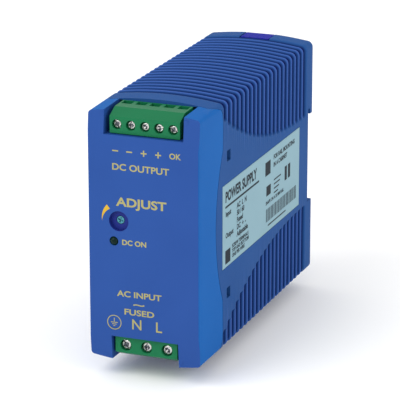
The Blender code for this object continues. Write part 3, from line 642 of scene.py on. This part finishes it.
def make_cap():
    cap = cap_outer()
    slope = CAP_LEAN / (CAP_HEIGHT - CAP_LEAN_START)
    cutters = []

    def cut(cutter, operation="DIFFERENCE"):
        cutters.append(cutter)
        boolean(cap, cutter, operation)

    for side in (1, -1):
        near, far = [side * (CAP_LEAN_START + depth / slope) for depth in LEAN_CUT]
        cut(prism_cutter("lean", [(-10, near), (LEAN_CUT[0], near), (LEAN_CUT[1], far), (-10, far)], -40, 40))
    cut(case_loft("cavity", WALL, 2.0, CAVITY_END))
    cut(prism_cutter("rear_region", seam_line(0.0) + [(130, -50), (130, 50)], -40, 40))
    near, far = BAY_WALL_DEPTHS
    for block in BLOCKS.values():
        side, half = block["side"], block["bay_half"] + BAY_WALL
        low, high = sorted((side * (block["inner"] - BAY_GAP - BAY_WALL), side * BAY_WALL_TOP))
        cut(box_cutter("bay_walls", (-half, near, low), (half, far, high)), "UNION")
    cut(round_cutter("boss", *DIAL, DIAL_RADIUS + 1.2, 0.8, 2.9), "UNION")
    for block in BLOCKS.values():
        side, half = block["side"], block["bay_half"]
        low, high = sorted((side * (block["inner"] - BAY_GAP), side * 55))
        cut(box_cutter("bay", (-half, -5, low), (half, 30, high)))
    cut(round_cutter("dish", *DIAL, DIAL_RADIUS, -1.0, DISH_DEPTH))
    cut(round_cutter("rotor_hole", *DIAL, 1.5, 0.0, 6.0, sides=32))
    cut(round_cutter("led_hole", *LED, 1.6, -1.0, 6.0, sides=32))
    finish_booleans(cap, cutters)
    paint_cap_with_painted_light(cap)
    bevel(cap, 0.28, angle=40)
    cap.data.shade_smooth()
    cap.data.set_sharp_from_angle(angle=math.radians(50))
    normals = cap.modifiers.new("weighted", "WEIGHTED_NORMAL")
    normals.keep_sharp = True
    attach(cap, "case")
    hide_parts("front_cap")


# Screws

def make_screw(node, x, z, block):
    """A domed pan head with a wide slot and a cross in it, on a threaded shank."""
    head, shank = block["head"], block["shank"]
    profile = [(0.0, 0.0), (head * 0.55, 0.04), (head * 0.85, 0.16), (head * 0.97, 0.36), (head, 0.6),
               (head, 1.2), (shank, 1.2)]
    for i in range(2 * THREAD_TURNS):
        depth = 1.3 + THREAD_LENGTH * i / (2 * THREAD_TURNS)
        profile.append((shank - (THREAD_DEPTH if i % 2 else 0.0), depth))
    profile += [(shank * 0.7, 6.8), (0.0, 6.8)]
    screw = turned(node + "_look", (x, z), [(radius, SCREW_FACE + depth) for radius, depth in profile])
    cutters = []
    own_turn = 37 * int(node[-1])
    slot_place = place(x, SCREW_FACE - 0.15, z)
    for turn, reach, width in ((20 + own_turn, 3.0, 0.55), (110 + own_turn, head * 0.62, 0.5)):
        tool = bmesh.new()
        bmesh.ops.create_cube(tool, size=1)
        bmesh.ops.scale(tool, vec=Vector((2 * reach, 1.6, width)) * MM, verts=tool.verts)
        spin = Matrix.Rotation(math.radians(turn), 4, "Y")
        bmesh.ops.transform(tool, matrix=Matrix.Translation(slot_place) @ spin, verts=tool.verts)
        cutter = new_object("screw_slot", tool)
        cutters.append(cutter)
        boolean(screw, cutter)
    finish_booleans(screw, cutters)
    paint(screw, "steel")
    screw.data.materials.append(LOOKS["slot_painted_shade"])
    # Painted shade: the faces near the screw's axis, in its slots and the middle of its head, get the dark
    # steel.
    axis = place(x, 0, z)
    for face in screw.data.polygons:
        off = face.center - axis
        if Vector((off.x, off.z)).length < 0.62 * head * MM:
            face.material_index = 1
    screw.data.shade_smooth()
    screw.data.set_sharp_from_angle(angle=math.radians(35))
    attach(screw, node)
    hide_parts(node)


def make_screws():
    for name, block in BLOCKS.items():
        for number in range(1, block["poles"] + 1):
            x = (number - 1 - (block["poles"] - 1) / 2) * block["pitch"]
            make_screw(f"{name}_screw_{number}", x, block["side"] * block["screw"], block)


def make_lamp():
    """The lamp's resin: a dome in the panel's hole, with a flange behind the panel."""
    profile = [(0.0, -0.75), (0.5, -0.68), (0.95, -0.45), (1.3, -0.05), (1.48, 0.5), (1.48, 3.7), (1.9, 3.7),
               (1.9, 4.5), (0.0, 4.5)]
    lamp = turned("lamp_look", LED, profile, "led", 40)
    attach(lamp, "case")
    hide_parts("led_lamp")


# Print

def print_text(name, words, x, z, height, look="print", bold=0.0, face="front", width=None):
    """Words as thin raised ink. On the front, x and z are the text's middle; on the side, its left end."""
    curve = bpy.data.curves.new(name, "FONT")
    curve.body = words
    curve.size = height * MM / CAPITAL_SHARE
    curve.offset = bold * MM
    curve.align_x = "CENTER" if face == "front" else "LEFT"
    curve.align_y = "CENTER"
    curve.extrude = 0.01 * MM
    curve.resolution_u = 4
    text = bpy.data.objects.new(name + "_source", curve)
    bpy.context.scene.collection.objects.link(text)
    bpy.context.view_layer.update()
    mesh = bpy.data.meshes.new_from_object(text.evaluated_get(bpy.context.evaluated_depsgraph_get()))
    bpy.data.objects.remove(text)
    bpy.data.curves.remove(curve)
    if width:
        found = max(v.co.x for v in mesh.vertices) - min(v.co.x for v in mesh.vertices)
        mesh.transform(Matrix.Diagonal((width * MM / found, 1, 1, 1)))
    if face == "front":
        mesh.transform(Matrix.Translation(place(x, -PRINT_STAND, z)) @ Matrix.Rotation(math.pi / 2, 4, "X"))
    else:
        stand = Matrix.Rotation(math.pi / 2, 4, "Z") @ Matrix.Rotation(math.pi / 2, 4, "X")
        mesh.transform(Matrix.Translation(place(HALF_WIDTH + PRINT_STAND, x, z)) @ stand)
    mesh.materials.clear()
    mesh.materials.append(LOOKS[look])
    made = bpy.data.objects.new(name, mesh)
    bpy.context.scene.collection.objects.link(made)
    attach(made, "case")
    return made


def print_outline(name, outline, look, face="front"):
    """A flat printed shape from its (x, z) outline, or its (y, z) outline on the side."""
    shape = bmesh.new()
    if face == "front":
        corners = [place(x, 0.0, z) for x, z in outline]
        step = Vector((0, -PRINT_THICKNESS, 0)) * MM
    else:
        corners = [place(HALF_WIDTH, y, z) for y, z in outline]
        step = Vector((PRINT_THICKNESS, 0, 0)) * MM
    base = shape.faces.new([shape.verts.new(corner) for corner in corners])
    extrude(shape, base, step)
    made = new_object(name, shape, look)
    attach(made, "case")
    return made


def bar(name, x0, z0, x1, z1, look="print", face="front"):
    return print_outline(name, [(x0, z0), (x1, z0), (x1, z1), (x0, z1)], look, face)


def print_ring(name, x, z, radius, width, sides=48):
    """A printed circle, made of two half rings so that each is one outline."""
    for half in (0, 1):
        angles = [math.pi * (half + i / (sides / 2)) for i in range(sides // 2 + 1)]
        outline = arc(x, z, radius, angles) + arc(x, z, radius - width, reversed(angles))
        print_outline(f"{name}_{half}", outline, "print")


def sign(name, plus, x, z, size=2.1, stroke=0.46):
    if plus:
        a, b = stroke / 2, size / 2
        print_outline(name, [(x - b, z - a), (x - a, z - a), (x - a, z - b), (x + a, z - b), (x + a, z - a),
                             (x + b, z - a), (x + b, z + a), (x + a, z + a), (x + a, z + b), (x - a, z + b),
                             (x - a, z + a), (x - b, z + a)], "print")
    else:
        bar(name, x - size / 2, z - stroke / 2, x + size / 2, z + stroke / 2)


def print_front():
    sign("mark_minus_1", False, -9.8, 30.2)
    sign("mark_minus_2", False, -4.8, 30.2)
    sign("mark_plus_1", True, 0.35, 30.2)
    sign("mark_plus_2", True, 5.5, 30.2)
    print_text("mark_ready", "OK", 11.4, 30.2, 1.9, bold=0.07)
    print_text("text_output", "DC OUTPUT", -0.9, 24.6, 2.2, bold=0.07, width=20.3)
    print_text("text_adjust", "ADJUST", -0.6, 12.5, 2.9, bold=0.12, width=18.1)
    print_text("text_on", "DC ON", -3.3, -1.5, 1.75, bold=0.08, width=8.7)
    print_text("text_input", "AC INPUT", -1.6, -19.7, 2.0, bold=0.07, width=16.1)
    print_text("text_mains", "~", -1.8, -23.0, 2.0, bold=0.08, width=4.0)
    print_text("text_fused", "FUSED", -1.7, -26.0, 2.0, bold=0.07, width=10.8)
    print_text("mark_n", "N", -2.6, -30.3, 3.6, bold=0.05)
    print_text("mark_l", "L", 5.3, -30.3, 3.6, bold=0.05)
    x, z = -10.8, -30.2
    print_ring("mark_earth_ring", x, z, 2.6, 0.28)
    bar("mark_earth_stem", x - 0.14, z, x + 0.14, z + 1.6)
    for row, half in enumerate((1.25, 0.8, 0.35)):
        bar(f"mark_earth_bar_{row}", x - half, z - 0.13 - 0.62 * row, x + half, z + 0.13 - 0.62 * row)
    print_crescent()


def print_crescent():
    """The sign for more: it runs round the dial from a point to its full width."""
    radius, full_width, steps = 6.0, 1.75, 14
    outer, inner = [], []
    for i in range(steps + 1):
        share = i / steps
        angle = math.radians(184 - 56 * share)
        width = full_width * share ** 1.2
        outer += arc(*DIAL, radius + width / 2, [angle])
        inner += arc(*DIAL, radius - width / 2, [angle])
    print_outline("mark_more", outer + list(reversed(inner))[:-1], "gold")


def print_label():
    """Plain generic words, rules and squares, and a row of stripes that encodes nothing."""
    left, top, right = 23.8, 14.6, 63.7
    print_text("label_title", "POWER SUPPLY", left, top - 4.6, 3.5, "ink", bold=0.2, face="side", width=31.0)
    bar("label_rule", left, top - 8.3, left + 33.4, top - 7.6, "ink", "side")
    rows = (("Input", "AC  L  N"), ("", "50 / 60"), ("", "Fused"), ("Output", "DC  +  -"), ("", "Adjustable"))
    for number, (head, value) in enumerate(rows):
        z = top - 10.6 - 2.55 * number
        if head:
            print_text(f"label_row_{number}", head, left + 0.3, z, 1.75, "ink", bold=0.1, face="side")
        print_text(f"label_value_{number}", value, left + 11.2, z, 1.8, "ink", bold=0.1, face="side")
    for number, words in enumerate(("SCREW TERMINALS", "TOP AND BOTTOM", "ONE PER WIRE")):
        z = top - 23.6 - 1.75 * number
        print_text(f"label_note_{number}", words, left + 6.6, z, 1.3, "ink", bold=0.07, face="side")
    bar("label_corner_box", left, top - 28.2, left + 4.9, top - 23.4, "ink", "side")
    bar("label_square", right, top - 8.4, right + 5.4, top - 3.4, "ink", "side")
    print_text("label_use_1", "FOR RAIL MOUNTING", right + 8.6, top - 3.6, 1.6, "ink", face="side", bold=0.09)
    print_text("label_use_2", "IN A CABINET", right + 8.6, top - 6.4, 1.6, "ink", face="side", bold=0.09)
    bar("label_block_a", right + 1.2, top - 16.0, right + 5.8, top - 12.4, "ink", "side")
    for number, y in enumerate((right + 20.6, right + 24.2)):
        bar(f"label_block_b_{number}", y, top - 15.6, y + 2.4, top - 10.4, "ink", "side")
    for number in range(4):
        z = top - 12.0 - 1.6 * number
        bar(f"label_line_{number}", right + 9.1, z - 0.25, right + 16.5 - number, z + 0.25, "ink", "side")
    print_text("label_use_3", "SNAPS ON A 35 MM RAIL", right + 0.6, top - 18.6, 1.2, "ink", face="side",
               bold=0.06)
    bar("label_underline", right + 3.0, top - 27.4, right + 22.0, top - 26.9, "ink", "side")
    x, number = right + 1.0, 0
    while x < right + 32.5:
        width = 0.34 + 0.36 * ((number * 7) % 4) / 3
        bar(f"label_stripe_{number}", x, top - 25.6, x + width, top - 20.8, "ink", "side")
        x += width + 0.38 + 0.3 * ((number * 5) % 3) / 2
        number += 1


# Floor, light and camera

def make_stage():
    shape = bmesh.new()
    bmesh.ops.create_grid(shape, x_segments=1, y_segments=1, size=4)
    low = cad_bounds[0][2] - FLOOR_DROP * MM
    bmesh.ops.translate(shape, vec=(0, 0, low), verts=shape.verts)
    floor = new_object("floor", shape)
    material, shader = new_material("pale_floor", 0.9, specular=0.1)
    shader.inputs["Base Color"].default_value = (1, 1, 1, 1)
    floor.data.materials.append(material)

    world = bpy.data.worlds.new("studio")
    bpy.context.scene.world = world
    world.use_nodes = True
    background = world.node_tree.nodes["Background"]
    background.inputs["Color"].default_value = (1.0, 1.0, 1.0, 1)
    background.inputs["Strength"].default_value = 0.95


def area_light(name, where, aim, size, power):
    data = bpy.data.lights.new(name, "AREA")
    data.shape = "RECTANGLE"
    data.size, data.size_y = size
    data.energy = power
    light = bpy.data.objects.new(name, data)
    bpy.context.scene.collection.objects.link(light)
    light.location = where
    light.rotation_euler = (Vector(aim) - Vector(where)).to_track_quat("-Z", "Y").to_euler()


def make_camera():
    data = bpy.data.cameras.new("camera")
    data.lens = 228.47
    data.sensor_width = 36.0
    data.clip_start, data.clip_end = 0.01, 50
    camera = bpy.data.objects.new("camera", data)
    bpy.context.scene.collection.objects.link(camera)
    position = place(306.39, -740.08, 266.22)
    forward = Vector((-0.34401, 0.88967, -0.30020)).normalized()
    roll = Matrix.Rotation(math.radians(-0.05), 4, "Z")
    turn = forward.to_track_quat("-Z", "Y").to_matrix().to_4x4() @ roll
    camera.matrix_world = Matrix.Translation(position) @ turn
    bpy.context.scene.camera = camera


for node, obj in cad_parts.items():
    if node in NODE_LOOKS:
        paint(obj, NODE_LOOKS[node])
    elif "contact" in node:
        paint(obj, "brass")
    elif "clamp" in node:
        paint(obj, "steel")

make_body()
make_cap()
make_screws()
make_lamp()
for block_node in ("output_terminal_block", "input_terminal_block"):
    bevel(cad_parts[block_node], 0.12)
print_front()
print_label()
make_stage()
area_light("key", (-0.5, -0.9, 0.9), (0, -0.05, 0), (0.9, 0.9), 8)
area_light("side", (1.1, -0.3, 0.5), (0, -0.05, 0), (0.8, 0.8), 3)
make_camera()

bpy.context.scene.view_settings.view_transform = "Standard"
